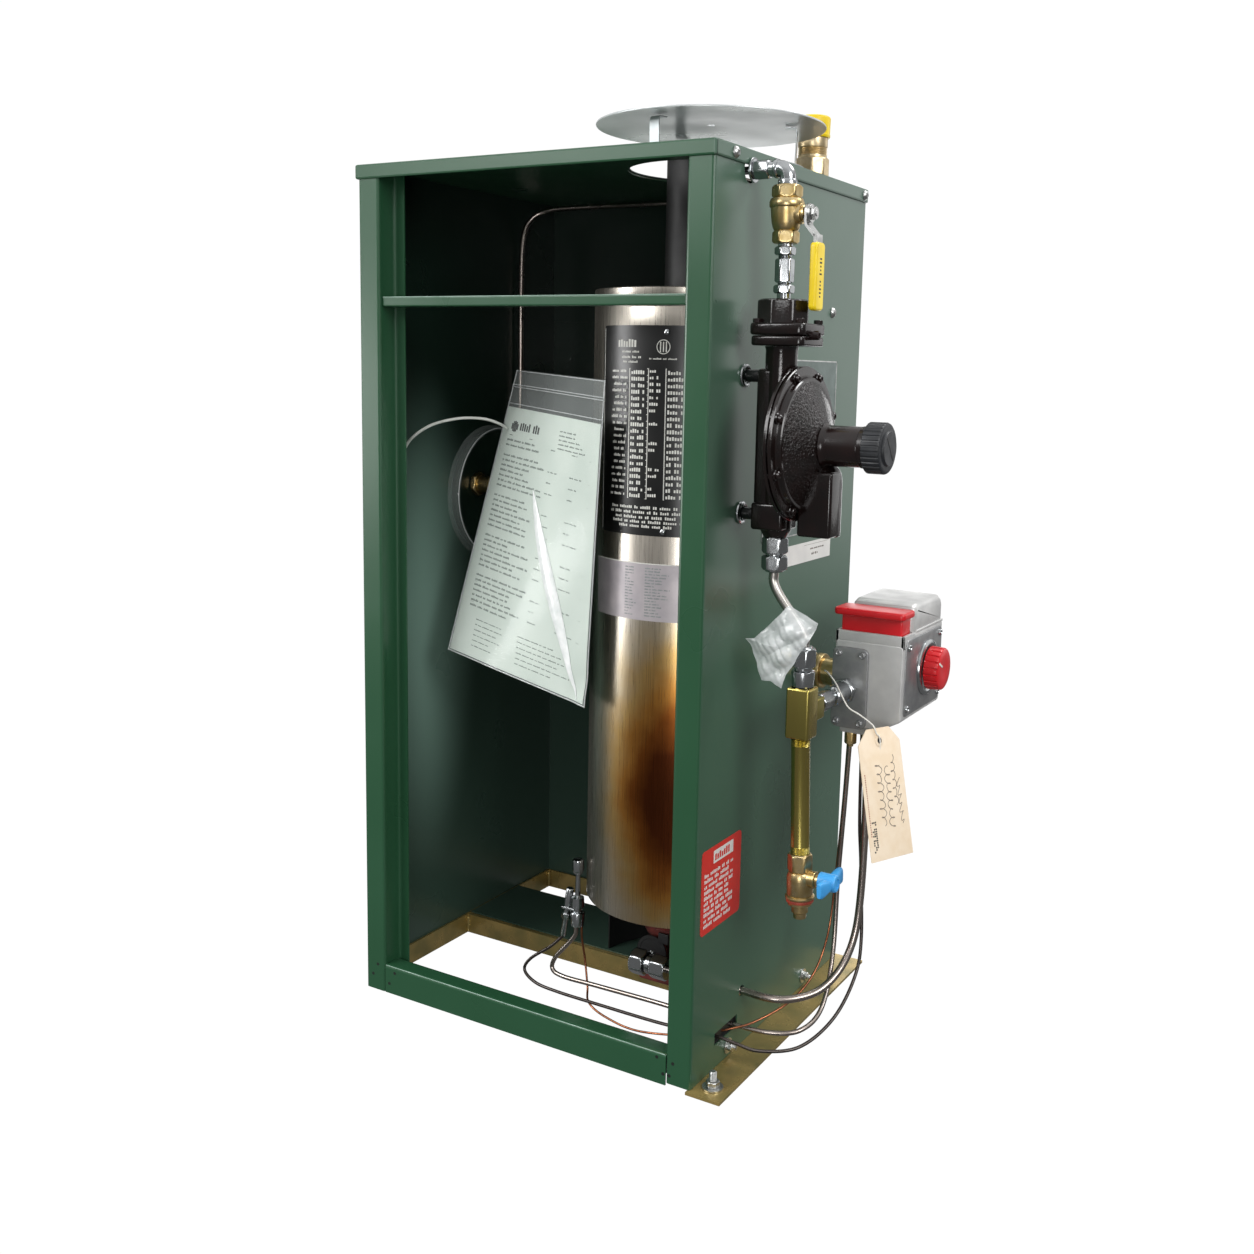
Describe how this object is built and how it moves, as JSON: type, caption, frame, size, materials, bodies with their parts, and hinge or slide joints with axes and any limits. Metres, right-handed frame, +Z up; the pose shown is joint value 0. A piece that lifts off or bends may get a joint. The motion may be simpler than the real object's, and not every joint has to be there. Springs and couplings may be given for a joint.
{
  "type": "tank water heater",
  "caption": "Gas-fired tank water heater in an open-fronted green weather cabinet, with a piped gas train, regulator and control valve on its right wall.",
  "frame": {"origin": "On the floor, on the underside of the base's cross rail, under the middle of the cabinet's width and depth.", "axes": "+Z up, -Y out of the cabinet's open front, +X towards the wall that carries the gas train."},
  "size_m": [0.588, 0.373, 0.9858],
  "materials": {
    "green_powder_coat": "satin",
    "yellow_zinc": "satin",
    "stainless_steel": "brushed",
    "galvanised_sheet": "bright",
    "black_steel": "matte",
    "bright_plated_steel": "bright",
    "brass": "machined",
    "dark_brown_casting": "painted",
    "grey_die_casting": "cast",
    "red_plastic": "gloss",
    "black_plastic": "matte",
    "yellow_vinyl": "satin",
    "blue_plastic": "satin",
    "red_oxide_iron": "matte",
    "copper": "drawn",
    "clear_film": "gloss",
    "manila_card": "matte",
    "white_nylon": "satin"
  },
  "bodies": {
    "heater": {"base_frame": "yellow_zinc", "floor_plate": "green_powder_coat", "anchor_stud": "bright_plated_steel", "side_panel_left": "green_powder_coat", "side_panel_right": "green_powder_coat", "back_panel_lower": "green_powder_coat", "back_panel_upper": "green_powder_coat", "front_sill": "green_powder_coat", "crossbar": "green_powder_coat", "roof_panel": "green_powder_coat", "rain_cap": "galvanised_sheet", "rain_cap_stand": "galvanised_sheet", "relief_valve_body": "brass", "relief_valve_cap": "yellow_vinyl", "tank_shell": "stainless_steel", "tank_head_bottom": "stainless_steel", "tank_head_top": "stainless_steel", "flue_pipe": "black_steel", "tank_skirt": "black_steel", "burner": "red_oxide_iron", "orifice_elbow": "bright_plated_steel", "pilot_burner": "bright_plated_steel", "wall_port_plate": "black_steel", "wall_port_rim": "clear_film", "port_nipple": "brass", "inlet_elbow": "bright_plated_steel", "ball_valve_body": "brass", "inlet_coupling": "bright_plated_steel", "regulator_flange": "dark_brown_casting", "regulator_body": "dark_brown_casting", "diaphragm_case": "dark_brown_casting", "spring_bonnet": "dark_brown_casting", "standoff_upper": "bright_plated_steel", "standoff_lower": "bright_plated_steel", "outlet_nuts": "bright_plated_steel", "offset_tube": "bright_plated_steel", "tee_nuts": "bright_plated_steel", "tee_block": "brass", "inlet_union": "bright_plated_steel", "drip_nipple": "brass", "drain_cock_body": "brass", "thermostat_shank": "brass", "valve_body": "grey_die_casting", "valve_inlet_plate": "grey_die_casting", "burner_tube": "bright_plated_steel", "pilot_tube": "bright_plated_steel", "sensor_lead": "black_plastic", "copper_tube": "copper", "gas_header": "bright_plated_steel", "document_pouch": "clear_film", "pouch_strap": "white_nylon", "tube_bag": "clear_film", "card_tag": "manila_card", "tag_string": "white_nylon"},
    "lever": {"ball_valve_lever": "bright_plated_steel", "lever_grip": "yellow_vinyl"},
    "drain_handle": {"drain_cock_handle": "blue_plastic"},
    "dial": {"control_knob": "red_plastic"},
    "spring_cap": {"bonnet_cap": "black_plastic"},
    "button": {"pilot_button": "red_plastic"}
  },
  "joints": [
    {"name": "ball_valve_turn", "type": "hinge", "parent": "heater", "child": "lever", "pos_m": [0.2741, -0.11, 0.8535], "axis": [1, 0, 0], "range_deg": [0, 90]},
    {"name": "drain_cock_turn", "type": "hinge", "parent": "heater", "child": "drain_handle", "pos_m": [0.29092, -0.11, 0.21909], "axis": [0.9994, 0, 0.0349], "range_deg": [0, 90]},
    {"name": "dial_turn", "type": "hinge", "parent": "heater", "child": "dial", "pos_m": [0.346, 0.072, 0.404], "axis": [1, 0, 0], "range_deg": [0, 270]},
    {"name": "spring_cap_turn", "type": "hinge", "parent": "heater", "child": "spring_cap", "pos_m": [0.345, -0.106, 0.642], "axis": [1, 0, 0], "range_deg": [0, 360]},
    {"name": "pilot_button_press", "type": "slide", "parent": "heater", "child": "button", "axis": [0, 0, -1], "range_m": [0, 0.004]}
  ]
}
